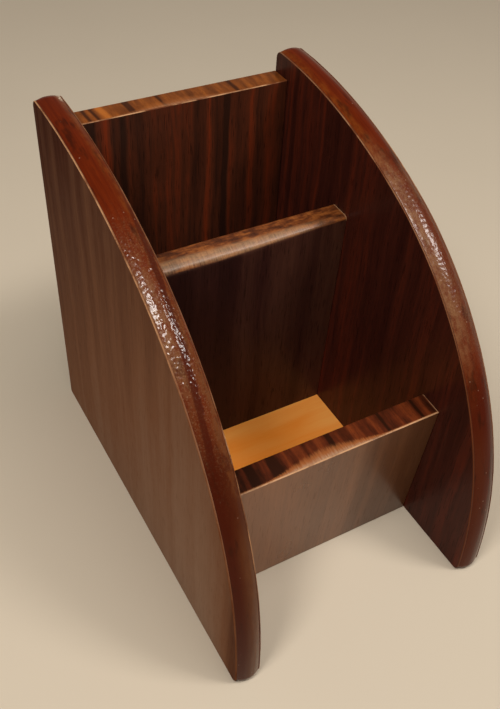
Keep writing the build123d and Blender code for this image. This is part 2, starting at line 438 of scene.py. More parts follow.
@dataclass(frozen=True)
class LacqueredEdge:
    """Thick red-brown lacquer brushed over the bowed edge of a board core.

    Red lacquer lies in the middle, orange-brown shows where it is thin near the arrises, and
    blisters and dust stand in it. Its pale patches and pale specks are painted sheen and painted
    glints. The mesh keeps "along", the distance from the toe, "across", the distance from the
    middle towards the stand's inside, both in millimetres, and "blister", how rough the lacquer
    is. Each tuple of two distances is a stretch of "along".
    """

    seed: float = 0.0
    deep: RGB = (0.080, 0.0085, 0.0016)
    red: RGB = (0.120, 0.0140, 0.0021)
    thin: RGB = (0.160, 0.0340, 0.0048)
    dark: RGB = (0.030, 0.0048, 0.0016)
    low: RGB = (0.052, 0.0058, 0.0016)  # the lowest part, darker
    toe: RGB = (0.130, 0.0410, 0.0110)  # the lowest part's inner side, browner
    rubbed: RGB = (0.135, 0.0380, 0.0100)
    # Pale tone of the painted sheen: a reflection laid into the colour, in patches and specks
    painted_sheen: RGB = (0.30, 0.160, 0.072)
    bare: RGB = (0.62, 0.48, 0.33)  # bare board where the top corner is chipped
    speck: RGB = (0.50, 0.29, 0.19)
    low_thin: float = 1.0  # how far the toe's brown comes through
    low_from: float = 104.0
    wet: float = 0.7  # second, glossier layer where the blisters are
    # Side, reach and strength of the painted sheen, a reflection laid into the colour
    painted_sheen_side: float = -1.0  # side of the painted sheen: 1 inner, -1 outer
    painted_sheen_reach: tuple[float, float] = (92.0, 162.0)
    painted_sheen_amount: float = 0.30
    chipped: float = 0.0
    run: float = 0.0  # strength of the dark run that crosses the edge on its way down
    # Strength of the painted glints: pale specks in the blisters
    painted_glints: float = 0.22
    shine: float = 0.14

    def coat(self, brush: Brush) -> Coat:
        """Lay the lacquer's streaks, its thin bands, its painted sheen and glints, and its dust.

        Args:
            brush: Brush of the material.

        Returns:
            The lacquer's coat.
        """
        along, across, blister = (brush.mark(name) for name in ("along", "across", "blister"))

        def texture(longer: float, number: int, *kind: float) -> Value:
            """Noise over the edge whose patches are so many times longer than wide."""
            return brush.noise(brush.point(along / longer, across, self.seed + number), *kind)

        patch = texture(3.5, 5, 4.0, 3.0, 0.6)
        mottle = texture(2.0, 21, 1.5, 3.0, 0.6)
        grain = texture(1.0, 9, 0.42, 2.0, 0.55)
        upper = along.step(82.0, 104.0) * (along.step(168.0, 146.0) * 0.75 + 0.25)
        colour = brush.mix(texture(14.0, 0, 1.1, 3.0, 0.6).step(0.25, 0.75), self.deep, self.red)
        colour = self.thin_parts(brush, colour, along, across, patch, mottle)
        colour = brush.mix(patch.step(0.53, 0.68) * 0.75, colour, self.dark)
        colour = brush.mix(blister * upper * (mottle.step(0.36, 0.64) * 0.5 + 0.15), colour,
                           self.rubbed)
        run = self.dark_run(along, across, mottle)
        # Painted sheen and painted glints: the pale tone laid over the lacquer
        painted_sheen_amount = self.painted_sheen_patch(along, across, mottle) * (1.0 - run)
        painted_sheen_amount = painted_sheen_amount + blister * grain.step(0.50, 0.70) * (upper * self.painted_glints + 0.10)
        colour = brush.mix(painted_sheen_amount, colour, self.painted_sheen)
        rubbed = along.step(72.0, 88.0) * along.step(132.0, 112.0) * across.step(0.4, 2.4)
        rubbed = rubbed * (mottle.step(0.35, 0.62) * 0.75) * self.run
        colour = brush.mix(run * 0.8, brush.mix(rubbed, colour, self.rubbed), self.low)
        chip = along.step(219.0, 222.5) * brush.axes()[2].step(129.0, 132.0) * self.chipped
        chip = chip * across.step(2.2, 3.4) * grain.step(0.42, 0.55)
        colour = brush.mix(chip, colour, self.bare)
        dust = brush.spots(brush.point(along, across, self.seed + 13), 3.4, 0.30)
        colour = brush.mix(dust * 0.55, colour, self.speck)
        roughness = self.shine + blister * 0.10 + (patch - 0.5) * 0.06
        return Coat(colour, roughness, (grain - 0.5) * blister * 0.055 + dust * 0.03,
                    blister * upper * self.wet)

    def thin_parts(self, brush: Brush, colour: Value, along: Value, across: Value, patch: Value,
                   mottle: Value) -> Value:
        """Lay the darker lowest part, its brown inner side, and the thin lacquer at the arris.

        Args:
            brush: Brush of the material.
            colour: Colour of the full lacquer.
            along: Distance from the toe.
            across: Distance from the middle, towards the stand's inside.
            patch: Wide noise.
            mottle: Narrow noise.

        Returns:
            The new colour.
        """
        brown = across.step(-2.6, 2.8) * (mottle * 0.6 + 0.35) * self.low_thin
        brown = brown * (along.step(74.0, 54.0) * 0.75 + 0.25)
        lowest = along.step(self.low_from, self.low_from - 20.0)
        colour = brush.mix(lowest, colour, brush.mix(brown, self.low, self.toe))
        thin = (across + (patch - 0.5) * 5.0).step(0.6, 3.4) * (mottle.step(0.34, 0.66) * 0.65 + 0.2)
        return brush.mix(thin * along.step(60.0, 120.0), colour, self.thin)

    def dark_run(self, along: Value, across: Value, mottle: Value) -> Value:
        """How strongly the run shows: a band that drifts 0.075 mm outwards for each mm down.

        Args:
            along: Distance from the toe.
            across: Distance from the middle, towards the stand's inside.
            mottle: Narrow noise.

        Returns:
            The strength, from 0 to 1.
        """
        course = across - (along - 114.0) * 0.075 + (mottle - 0.5) * 1.6
        band = course.band(0.0, 3.6).step(0.15, 0.75)
        return band * along.step(74.0, 94.0) * along.step(186.0, 160.0) * self.run

    def painted_sheen_patch(self, along: Value, across: Value, mottle: Value) -> Value:
        """How strong the painted sheen is: along its reach, on one side, more where it is mottled.

        Args:
            along: Distance from the toe.
            across: Distance from the middle, towards the stand's inside.
            mottle: Narrow noise.

        Returns:
            The painted sheen's strength, from 0 to 1.
        """
        start, end = self.painted_sheen_reach
        patch = along.step(end, end - 24.0) * along.step(start, start + 28.0)
        side = (across * self.painted_sheen_side).step(-1.0, 2.6)
        return patch * side * (mottle.step(0.30, 0.66) + 0.35) * self.painted_sheen_amount


@dataclass(frozen=True)
class RawPlywood:
    """Raw pale face of the thin floor board: soft long figure, fine fibres, browner at its rim."""

    light: RGB = (0.98, 0.385, 0.075)
    warm: RGB = (0.95, 0.255, 0.018)
    seed: float = 4.0
    bay: tuple[float, float] = (41.0, 27.0)  # half the width and half the depth of the bay
    bay_middle: float = -5.0

    def coat(self, brush: Brush) -> Coat:
        """Lay the ply's figure, which runs along the stand's width, paler towards the bay's rim.

        Args:
            brush: Brush of the material.

        Returns:
            The ply's coat.
        """
        x, y, z = brush.axes()
        figure = brush.noise(brush.point(x / 9, y, self.seed), 5.0, 3.0, 0.55)
        fibre = brush.noise(brush.point(x / 26, y, self.seed + z / 3), 0.45, 2.0, 0.6)
        rim = (abs(x) / self.bay[0]).most(abs(y - self.bay_middle) / self.bay[1]).step(0.45, 1.0)
        tone = figure.step(0.36, 0.66) * 0.4 + rim * 0.6 + (fibre - 0.5) * 0.4
        colour = brush.mix(tone, self.warm, self.light)
        return Coat(colour, 0.62 + (fibre - 0.5) * 0.1, (fibre - 0.5) * 0.03)


@dataclass(frozen=True)
class BareBoard:
    """Bare fibreboard of a cross board's core, seen from below: pale brown and speckled."""

    light: RGB = (0.56, 0.38, 0.22)
    dark: RGB = (0.34, 0.20, 0.105)

    def coat(self, brush: Brush) -> Coat:
        """Lay fine chips over slow clouds.

        Args:
            brush: Brush of the material.

        Returns:
            The board's coat.
        """
        place = brush.point(*brush.axes())
        chip = brush.noise(place, 0.7, 3.0, 0.7)
        cloud = brush.noise(place, 9.0, 2.0)
        colour = brush.mix(chip.step(0.35, 0.65) * 0.7 + cloud * 0.3, self.dark, self.light)
        return Coat(colour, 0.75 + (chip - 0.5) * 0.2, (chip - 0.5) * 0.05)


@dataclass(frozen=True)
class Beech:
    """Pale beech of the dowels, with its grain along X and short brown flecks."""

    light: RGB = (0.74, 0.56, 0.36)
    dark: RGB = (0.56, 0.36, 0.19)
    flecks: RGB = (0.36, 0.19, 0.09)

    def coat(self, brush: Brush) -> Coat:
        """Lay the grain and the flecks.

        Args:
            brush: Brush of the material.

        Returns:
            The wood's coat.
        """
        x, y, z = brush.axes()
        grain = brush.noise(brush.point(x / 18, y, z), 0.5, 2.0, 0.6)
        fleck = brush.noise(brush.point(x / 5, y, z + 40.0), 0.35, 1.0).step(0.62, 0.70)
        colour = brush.mix(grain.step(0.3, 0.7), self.dark, self.light)
        colour = brush.mix(fleck * 0.6, colour, self.flecks)
        return Coat(colour, 0.6 + (grain - 0.5) * 0.1, (grain - 0.5) * 0.03)


@dataclass(frozen=True)
class DrawnSteel:
    """Bright drawn wire of the panel pins, with fine scratches along it."""

    tone: RGB = (0.60, 0.60, 0.61)

    def coat(self, brush: Brush) -> Coat:
        """Lay the drawing marks along Z.

        Args:
            brush: Brush of the material.

        Returns:
            The wire's coat.
        """
        x, y, z = brush.axes()
        mark = brush.noise(brush.point(x, y, z / 20), 0.12, 2.0, 0.6)
        colour = brush.mix(mark, tuple(part * 0.8 for part in self.tone), self.tone)
        return Coat(colour, 0.28 + (mark - 0.5) * 0.2, (mark - 0.5) * 0.004)


# ---- Surfaces ------------------------------------------------------------------------------------


def enclosed_volume(points: np.ndarray, faces: Sequence[Sequence[int]]) -> float:
    """Volume inside a closed mesh.

    Each face is cut into triangles from its first corner, and each triangle a, b, c adds
    a . (b x c) / 6, which is positive where the faces point outwards.

    Args:
        points: Corner points, one row each.
        faces: Corner numbers of each face.

    Returns:
        The signed volume.
    """
    cut = np.array([(face[0], face[k], face[k + 1]) for face in faces for k in range(1, len(face) - 1)])
    a, b, c = (points[cut[:, k]] for k in range(3))
    return float(np.einsum("ij,ij->i", a, np.cross(b, c)).sum() / 6)


def shell(name: str, rings: np.ndarray, marks: Optional[dict[str, np.ndarray]] = None,
          crease: float = 38.0, fan: bool = False) -> bpy.types.Object:
    """Closed mesh through a row of closed rings, with a flat cap on the first and the last ring.

    The surface is S(i, j) = rings[i, j modulo n], with a four-sided face between neighbours. A cap
    is one face, or a fan of triangles from the ring's mean point.

    Args:
        name: Name of the piece.
        rings: Points in millimetres, as (ring, point of the ring, axis).
        marks: Numbers kept at the points, each an array of (ring, point of the ring).
        crease: Angle in degrees from which an edge stays sharp.
        fan: True for caps of triangles, for a ring of many points on a large flat face.

    Returns:
        The new object, at the origin, in metres.
    """
    count, around = rings.shape[:2]
    points = rings.reshape(-1, 3)
    here = np.arange(count - 1)[:, None] * around + np.arange(around)[None, :]
    beside = np.arange(count - 1)[:, None] * around + (np.arange(around)[None, :] + 1) % around
    quads = np.stack([here, beside, beside + around, here + around], axis=-1).reshape(-1, 4)
    first, last = np.arange(around)[::-1], np.arange(around) + (count - 1) * around
    if fan:
        points = np.concatenate([points, rings[0].mean(axis=0)[None], rings[-1].mean(axis=0)[None]])
        caps = [np.stack([cap, np.roll(cap, -1), np.full(around, count * around + k)], axis=-1)
                for k, cap in enumerate((first, last))]
        faces = [*quads.tolist(), *caps[0].tolist(), *caps[1].tolist()]
    else:
        faces = [*quads.tolist(), first.tolist(), last.tolist()]
    if enclosed_volume(points, faces) < 0:
        faces = [face[::-1] for face in faces]
    mesh = bpy.data.meshes.new(name)
    mesh.from_pydata((points * MM).tolist(), [], faces)
    for mark, numbers in (marks or {}).items():
        kept = mesh.attributes.new(mark, "FLOAT", "POINT")
        spread = np.broadcast_to(numbers, (count, around)).ravel()
        spread = np.concatenate([spread, spread[[0, -1]]]) if fan else spread
        kept.data.foreach_set("value", spread.astype(np.float32))
    mesh.shade_smooth()
    mesh.set_sharp_from_angle(angle=math.radians(crease))
    made = bpy.data.objects.new(name, mesh)
    bpy.context.scene.collection.objects.link(made)
    return made


def ripple(shape: tuple[int, int], step: float, lengths: tuple[float, float], spread: float,
           seed: int) -> np.ndarray:
    """Smooth random relief on a grid, of mean 0 and mean square 1.

    White noise is filtered by exp(-(ln k)^2 / (2 spread^2)), where k is the wave number divided by
    that of the wanted wavelength, so that only waves of about that length stay.

    Args:
        shape: Rows and columns of the grid.
        step: Distance between neighbours, the same both ways.
        lengths: Wavelengths along the rows' axis and along the columns' axis.
        spread: Width of the kept band of wavelengths, as a natural logarithm.
        seed: Seed of the noise.

    Returns:
        The relief, as an array of that shape.
    """
    margin = 64  # keeps the two ends of the periodic noise apart
    wide = (shape[0] + margin, shape[1] + margin)
    noise = np.random.default_rng(seed).standard_normal(wide)
    k0 = np.fft.fftfreq(wide[0], step)[:, None] * lengths[0]
    k1 = np.fft.rfftfreq(wide[1], step)[None, :] * lengths[1]
    k = np.hypot(k0, k1)
    k[0, 0] = 1e-9
    keep = np.exp(-np.log(k) ** 2 / (2 * spread**2))
    waves = np.fft.irfft2(np.fft.rfft2(noise) * keep, s=wide)[: shape[0], : shape[1]]
    return (waves - waves.mean()) / waves.std()


def drift(places: np.ndarray, length: float, seed: int) -> np.ndarray:
    """Slow random curve from -1 to 1: random values at even knots, joined by half cosines.

    Args:
        places: Where the curve is read, in any order.
        length: Distance between knots.
        seed: Seed of the values at the knots.

    Returns:
        The curve's values.
    """
    place = (places - places.min()) / length
    knots = np.random.default_rng(seed).uniform(-1, 1, int(place.max()) + 3)
    low = np.floor(place).astype(int)
    share = (1 - np.cos(np.pi * (place - low))) / 2
    return knots[low] * (1 - share) + knots[low + 1] * share


def ease(value: np.ndarray, low: float, high: float) -> np.ndarray:
    """Smooth step 3 t^2 - 2 t^3, with t going from 0 at low to 1 at high and held there.

    Args:
        value: Where the step is read.
        low: Value at which it is 0.
        high: Value at which it is 1.

    Returns:
        The eased values.
    """
    share = np.clip((value - low) / (high - low), 0, 1)
    return share * share * (3 - 2 * share)


def tangent_arc(start: np.ndarray, end: np.ndarray, heading: np.ndarray,
                step: float) -> tuple[np.ndarray, np.ndarray]:
    """Points and unit tangents of the circle's arc that leaves start along heading and meets end.

    With n the normal to the right of the heading and c the chord, the radius is |c|^2 / (2 n . c).

    Args:
        start: First point.
        end: Last point.
        heading: Unit tangent at the start.
        step: Longest distance between points.

    Returns:
        The points from start to end, and the tangents there.
    """
    right = np.array([heading[1], -heading[0]])
    chord = end - start
    radius = (chord @ chord) / (2 * (right @ chord))
    centre = start + right * radius
    first = math.atan2(*(start - centre)[::-1])
    turn = -2 * math.asin(math.hypot(*chord) / (2 * radius))
    angles = first + np.linspace(0, turn, int(radius * abs(turn) / step) + 2)
    spoke = np.stack([np.cos(angles), np.sin(angles)], axis=-1)
    return centre + radius * spoke, np.stack([spoke[:, 1], -spoke[:, 0]], axis=-1)


def rounding(middle: np.ndarray, radius: float, first: float, last: float,
             count: int) -> tuple[np.ndarray, np.ndarray]:
    """Arc of a circle, and the outward normals there: middle + radius (cos a, sin a).

    Args:
        middle: Middle of the circle.
        radius: Its radius.
        first: Angle at which the arc starts.
        last: Angle at which it ends.
        count: Number of points.

    Returns:
        The points and their unit normals.
    """
    angles = np.linspace(first, last, count)
    normals = np.stack([np.cos(angles), np.sin(angles)], axis=-1)
    return middle + radius * normals, normals


def mitres(loop: np.ndarray) -> np.ndarray:
    """Vectors that move each corner of a closed loop outwards so that its sides move by one unit.

    With a and b the outward normals of the two sides at a corner, the vector is
    (a + b) / (1 + a . b). The loop runs clockwise, so that left of its heading is outwards.

    Args:
        loop: Corners, as (..., corner, axis).

    Returns:
        One vector for each corner.
    """
    side = np.roll(loop, -1, axis=-2) - loop
    side /= np.linalg.norm(side, axis=-1, keepdims=True)
    after = np.stack([-side[..., 1], side[..., 0]], axis=-1)
    before = np.roll(after, 1, axis=-2)
    return (after + before) / (1 + (after * before).sum(axis=-1, keepdims=True))


# ---- Sub-assemblies ------------------------------------------------------------------------------


def dress(piece: bpy.types.Object, material: bpy.types.Material,
          node: str) -> bpy.types.Object:
    """Give a new piece its material and its body, and let it stand for a CAD node.

    Args:
        piece: The finished piece.
        material: Its material.
        node: CAD node that the piece stands for.

    Returns:
        The piece.
    """
    piece.data.materials.append(material)
    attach(piece, "root")
    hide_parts(node)
    low, high = piece.bound_box[0], piece.bound_box[6]
    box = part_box(node)
    over = max(max(box[0][k] - low[k], high[k] - box[1][k]) for k in range(3))
    log.info("%s: %d faces, %.2f mm beyond its node's box", piece.name, len(piece.data.polygons),
             over / MM)
    return piece


def paint_node(node: str, material: bpy.types.Material) -> None:
    """Give a carried-over CAD node a better material on each of its slots.

    Args:
        node: Name of the node.
        material: Its new material.
    """
    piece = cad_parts[node]
    if not piece.material_slots:
        piece.data.materials.append(material)
    for place in piece.material_slots:
        place.material = material
    log.info("%s: carried over", node)


class Hand(Enum):
    """Left or right side board, as the sign of X."""

    LEFT = -1
    RIGHT = 1


class Sheet(Enum):
    """A side board's laminate sheets, as the word in their names."""

    INNER = "inner"
    OUTER = "outer"


@dataclass(frozen=True)
class BowLine:
    """The side board's bowed edge: toe rounding, three tangent arcs, and a rounded rear corner."""

    depth: float = 148.0
    height: float = 135.5
    knee_rise: float = 32.5
    knee_setback: float = 3.1
    shoulder_drop: float = 15.9
    shoulder_setting: float = 76.2
    toe_radius: float = 3.2
    toe_cut: float = 0.6
    rear_radius: float = 2.8
    rear: float = REAR
    step: float = 0.2

    def path(self) -> tuple[np.ndarray, np.ndarray]:
        """Points (rearward, up) from the table to the rear edge, and the outward normals there.

        Returns:
            Evenly spaced points and their unit normals.
        """
        points, normals = self.round_rear(*self.three_arcs())
        run = np.concatenate([[0], np.cumsum(np.linalg.norm(np.diff(points, axis=0), axis=1))])
        even = np.linspace(0, run[-1], int(run[-1] / self.step) + 1)
        points, normals = (np.stack([np.interp(even, run, rows[:, k]) for k in range(2)], axis=-1)
                           for rows in (points, normals))
        return points, normals / np.linalg.norm(normals, axis=1, keepdims=True)

    def three_arcs(self) -> tuple[np.ndarray, np.ndarray]:
        """Shin, chest and brow, each tangent to the one before, after the toe's rounding.

        The rounding is the circle that touches the cut line under the table and, from inside, the
        first arc; it starts where it comes out of the table.

        Returns:
            The points up to the crest, and their unit normals, left of the heading.
        """
        toe = np.array([self.rear - self.depth, -self.toe_cut])
        knee = np.array([toe[0] + self.knee_setback, self.knee_rise])
        shoulder = np.array([self.rear - self.shoulder_setting, self.height - self.shoulder_drop])
        crest = np.array([self.rear, self.height])
        shin, shin_way = tangent_arc(toe, knee, np.array([0.0, 1.0]), self.step / 4)
        chest, chest_way = tangent_arc(knee, shoulder, shin_way[-1], self.step / 4)
        brow, brow_way = tangent_arc(shoulder, crest, chest_way[-1], self.step / 4)
        chord, small = knee - toe, self.toe_radius
        shin_radius = (chord @ chord) / (2 * chord[0])
        shin_middle = np.array([toe[0] + shin_radius, toe[1]])
        inward = math.sqrt((shin_radius - small) ** 2 - small**2)
        middle = np.array([shin_middle[0] - inward, small - self.toe_cut])
        touch = middle - shin_middle
        corner, corner_out = rounding(middle, small, math.pi + math.asin(middle[1] / small),
                                      math.atan2(touch[1], touch[0]) % (2 * math.pi), 60)
        keep = shin[:, 1] > corner[-1, 1]
        points = np.concatenate([corner, shin[keep], chest[1:], brow[1:]])
        way = np.concatenate([shin_way[keep], chest_way[1:], brow_way[1:]])
        left = np.stack([-way[:, 1], way[:, 0]], axis=-1)
        return points, np.concatenate([corner_out, left])

    def round_rear(self, points: np.ndarray, normals: np.ndarray) -> tuple[np.ndarray, np.ndarray]:
        """Round the corner between the last arc and the rear edge.

        The rounding starts r tan(turn / 2) before the crest and turns from the last arc's heading
        to straight down.

        Args:
            points: Points up to the crest.
            normals: Their unit normals.

        Returns:
            The points down to the rear edge, and their unit normals.
        """
        turn = math.acos(normals[-1, 0])
        gap = self.rear_radius * math.tan(turn / 2)
        keep = np.linalg.norm(points - points[-1], axis=1) > gap
        points, normals = points[keep], normals[keep]
        middle = np.array([self.rear - self.rear_radius,
                           points[-1, 1] - normals[-1, 1] * self.rear_radius])
        corner, out = rounding(middle, self.rear_radius, math.atan2(*normals[-1][::-1]), 0.0, 40)
        return np.concatenate([points, corner[1:]]), np.concatenate([normals, out[1:]])


@dataclass(frozen=True)
class Waves:
    """One layer of the lacquer's relief: wavelengths along and across the edge, and height."""

    lengths: tuple[float, float]
    height: float
    spread: float = 0.30


class SideFinish:
    """Finishes of the side boards, by hand and by sheet."""

    LACQUER: dict[Hand, LacqueredEdge] = {
        Hand.LEFT: LacqueredEdge(painted_sheen_reach=(100.0, 156.0), painted_sheen_amount=0.27, wet=0.64, chipped=1.0,
                                 run=1.0),
        Hand.RIGHT: LacqueredEdge(low=(0.064, 0.0056, 0.0014), low_thin=0.25, low_from=92.0,
                                  wet=0.95, painted_sheen_side=1.0, painted_sheen_reach=(76.0, 176.0), painted_sheen_amount=0.25,
                                  painted_glints=0.15, shine=0.18)}
    LACQUER_GLOSS: dict[Hand, Gloss] = {
        Hand.LEFT: Gloss(ior=1.25, tint=(1.0, 0.75, 0.55), lacquer_roughness=0.15),
        Hand.RIGHT: Gloss(ior=1.25, tint=(1.0, 0.75, 0.55), lacquer_roughness=0.24)}
    SHEET: dict[Sheet, StripedLaminate] = {
        # Outer sheet: its tones, paler and greyer than the inner sheet's, are painted sheen; its slope
        # (darker to the rear and up) and its dark stripe at the front end are painted shade
        Sheet.OUTER: StripedLaminate(
            Grain.UP_ON_A_SIDE, dark=(0.045, 0.0070, 0.0016), middle=(0.190, 0.0820, 0.0405),
            light=(0.305, 0.1950, 0.1300), stripe_width=7.0, shine=0.40, slope=(0.0021, 0.0028),
            contrast=0.20, pores=0.12, stripes=(Stripe(-78.0, 48.0, -0.66),)),
        Sheet.INNER: StripedLaminate(
            Grain.UP_ON_A_SIDE, dark=(0.025, 0.0062, 0.0042), middle=(0.056, 0.0122, 0.0068),
            light=(0.150, 0.0215, 0.0075), stripe_width=5.0, contrast=0.6,
            stripes=(Stripe(62.0, 3.5, 0.30), Stripe(41.0, 3.5, 0.28)))}
    SHEET_GLOSS: dict[Sheet, Gloss] = {Sheet.OUTER: Gloss(ior=1.04, tint=(1.0, 0.7, 0.5)),
                                       Sheet.INNER: Gloss(ior=1.17, tint=(1.0, 0.7, 0.5))}
    # Darkness of the pale line on each arris: its share of the darker tone, and the stretches of the
    # bow where the line is paler, each as (gain, where it begins, where it is full, where it starts to
    # fall, where it ends). Low on the left outer arris the dark line is painted shade of a narrow gap.
    ARRIS: dict[tuple[Hand, Sheet], tuple[float, tuple[tuple[Optional[float], ...], ...]]] = {
        (Hand.LEFT, Sheet.OUTER): (0.85, ((0.80, 95.0, 150.0, None, None),)),
        (Hand.LEFT, Sheet.INNER): (0.80, ((0.65, 34.0, 50.0, 92.0, 112.0),
                                          (0.20, 120.0, 160.0, None, None))),
        (Hand.RIGHT, Sheet.OUTER): (0.97, ((0.70, 140.0, 152.0, 168.0, 182.0),)),
        (Hand.RIGHT, Sheet.INNER): (1.00, ((0.30, 75.0, 125.0, None, None),
                                           (0.35, 150.0, 165.0, 178.0, 190.0)))}


@dataclass
class SideBoard:
    """One side board: a core with a lacquered bowed edge between two laminate sheets."""

    hand: Hand
    seed: int
    inner_face: float = 41.4
    core: float = 8.0
    laminate: float = 0.55
    crown: float = 1.3
    bow: BowLine = field(default_factory=BowLine)
    rings: int = 41
    rough_part: tuple[float, float, float, float] = (62.0, 96.0, 150.0, 178.0)
    fine: Waves = Waves((0.80, 0.75), 0.010)
    coarse: Waves = Waves((1.9, 1.35), 0.032)
    strokes: Waves = Waves((24.0, 2.4), 0.012, 0.4)
    everywhere: float = 0.002  # height of the coarse waves where the lacquer is smooth
    relief_fade: float = 0.7  # from an arris inwards
    tail: float = 6.0  # last stretch of the bow, where the crown runs out
    sunk: float = 0.06  # how far the lacquer lies below the sheets' arrises
    ease_radius: float = 0.06  # of the sheets' arrises
    worn_radius: tuple[float, float, float] = (0.22, 0.07, 0.14)  # on the bow: mean, drift, rubbed
    rubbed_part: tuple[float, float, float, float] = (38.0, 55.0, 92.0, 112.0)

    def __post_init__(self) -> None:
        """Work out the bow, and the loop of the whole outline, clockwise from the toe."""
        self.path, self.normals = self.bow.path()
        self.run = np.arange(len(self.path)) * self.bow.step
        rear_edge = np.linspace([self.bow.rear, self.path[-1, 1]], [self.bow.rear, 0.0], 9)[1:]
        foot = np.linspace([self.bow.rear, 0.0], self.path[0], 9)[1:-1]
        self.loop = np.concatenate([self.path, rear_edge, foot])
        self.length = self.run[-1]

    @property
    def name(self) -> str:
        """Name of the board."""
        return f"{self.hand.name.lower()}_side"

    def on_loop(self, on_bow: Union[np.ndarray, float], elsewhere: float) -> np.ndarray:
        """Numbers round the whole outline.

        Args:
            on_bow: Those on the bow.
            elsewhere: The one on the rest.

        Returns:
            A number for each point of the outline.
        """
        made = np.full(len(self.loop), elsewhere)
        made[: len(self.path)] = on_bow
        return made

    def blisters(self) -> np.ndarray:
        """How rough the lacquer is along the bow: rough in its middle third.

        Returns:
            Roughness from 0 to 1.
        """
        first, full, fall, last = self.rough_part
        rough = ease(self.run, first, full) * (1 - ease(self.run, fall, last))
        return rough * (0.85 + 0.15 * drift(self.run, 9.0, self.seed + 3))

    def lacquer_relief(self, across: np.ndarray) -> np.ndarray:
        """Relief of the lacquer: fine and coarse waves where it is blistered, brush strokes all over.

        Args:
            across: Places across the board.

        Returns:
            Heights in millimetres, as (place along the bow, place across).
        """
        fine, coarse, strokes = (
            ripple((len(self.path), self.rings), self.bow.step, waves.lengths, waves.spread,
                   self.seed + k) for k, waves in enumerate((self.fine, self.coarse, self.strokes)))
        settled = np.ones((1, self.rings))
        if self.hand is Hand.RIGHT:
            settled = 0.65 - 0.35 * ease(across, 0.5, 3.0)[None, :]
        blistered = self.fine.height * fine + self.coarse.height * coarse
        return (self.blisters()[:, None] * blistered * settled + self.strokes.height * strokes
                + self.everywhere * coarse)

    def build_core(self) -> bpy.types.Object:
        """Core of the board, with its edge rounded from arris to arris under uneven lacquer.

        A point of the edge is path(s) + normal(s) * (h(t) + relief(s, t)), where t runs across the
        board and h is the circle's segment sqrt(R^2 - t^2) - (R - crown) over the core's width.

        Returns:
            The core.
        """
        half = self.core / 2
        across = np.linspace(-half, half, self.rings)
        radius = (half**2 + self.crown**2) / (2 * self.crown)
        segment = np.sqrt(radius**2 - across**2) - (radius - self.crown)
        edge = np.clip((half - np.abs(across)) / self.relief_fade, 0, 1)
        tail = 1 - ease(self.run, self.length - self.tail, self.length)[:, None]
        relief = self.lacquer_relief(across) * edge[None, :]
        rise = (segment[None, :] + relief) * tail - self.sunk * edge[None, :]
        bowed = self.path[:, None, :] + self.normals[:, None, :] * rise[:, :, None]
        rest = np.repeat(self.loop[len(self.path):, None, :], self.rings, axis=1)
        flat = np.concatenate([bowed, rest]).transpose(1, 0, 2)
        flat[:, :, 0] = np.minimum(flat[:, :, 0], self.bow.rear)
        flat[:, :, 1] = np.maximum(flat[:, :, 1], 0.0)
        middle = self.inner_face + self.laminate + half
        x = np.broadcast_to((self.hand.value * (middle + across))[:, None, None], (*flat.shape[:2], 1))
        marks = {"along": self.on_loop(self.run, self.length)[None, :], "across": -across[:, None],
                 "blister": self.on_loop(self.blisters(), 0.0)[None, :]}
        rings = np.concatenate([x, flat], axis=2)
        return shell(f"{self.name}_core_lacquered", rings, marks, 60.0, fan=True)

    def build_sheet(self, sheet: Sheet) -> bpy.types.Object:
        """Laminate sheet on the core's inner or outer face, its bowed arris eased and worn.

        The rings are the outline at the depths of a quarter round: at angle a the outline is drawn
        in by r (1 - cos a) and stands r (1 - sin a) below the face, with r varying along the bow.

        Args:
            sheet: Which of the two sheets.

        Returns:
            The sheet.
        """
        outer = sheet is Sheet.OUTER
        base = self.inner_face + self.laminate + (self.core if outer else 0.0)
        face = base + self.laminate * (1 if outer else -1)
        along = self.on_loop(self.run, self.length)
        worn = self.on_loop(drift(self.run, 5.0, self.seed + outer * 7 + self.hand.value), 0.0)
        first, full, fall, last = self.rubbed_part
        rubbed = ease(along, first, full) * (1 - ease(along, fall, last))
        rubbed = rubbed * (self.hand is Hand.LEFT and not outer)
        mean, drifting, more = self.worn_radius
        radius = self.on_loop(1.0, 0.0) * (mean + drifting * worn + more * rubbed)
        radius = self.ease_radius + radius
        sides = mitres(self.loop)
        rows, cut = [(self.loop, base)], [0.1]
        for angle in np.linspace(0, math.pi / 2, 6):
            inset = radius * (1 - math.cos(angle))
            below = radius * (1 - math.sin(angle))
            rows.append((self.loop - sides * inset[:, None], face - np.sign(face - base) * below))
            cut.append(0.55 + 0.45 * math.sin(2 * angle) if angle < 1.0 else 0.25)
        for within in (0.06, 0.5):
            rows.append((self.loop - sides * (radius + within)[:, None], np.full(len(self.loop), face)))
            cut.append(0.0)
        flat = np.stack([row for row, _ in rows])
        flat[:, :, 1] = np.maximum(flat[:, :, 1], 0.0)
        x = np.stack([np.broadcast_to(place, len(self.loop)) for _, place in rows]) * self.hand.value
        marks = {"cut": np.array(cut)[:, None], "along": along[None, :]}
        rings = np.concatenate([x[:, :, None], flat], axis=2)
        return shell(f"{self.name}_{sheet.value}_laminate_sheet", rings, marks, fan=True)

    def dress_sheet(self, sheet: Sheet) -> bpy.types.Material:
        """Material of a sheet: striped laminate, with a pale cut edge where the mesh says so.

        Args:
            sheet: Which of the two sheets.

        Returns:
            The material.
        """
        brush = Brush(f"{self.name}_{sheet.value}_laminate_finish")
        seed = self.seed + 20.0 * (sheet is Sheet.OUTER) + self.hand.value
        lower = replace(SideFinish.SHEET[sheet], seed=seed).coat(brush)
        edge = CutEdge(float(self.seed)).coat(brush, self.arris_darkening(brush.mark("along"), sheet))
        return SideFinish.SHEET_GLOSS[sheet].close(brush, edge.over(lower, brush.mark("cut")))

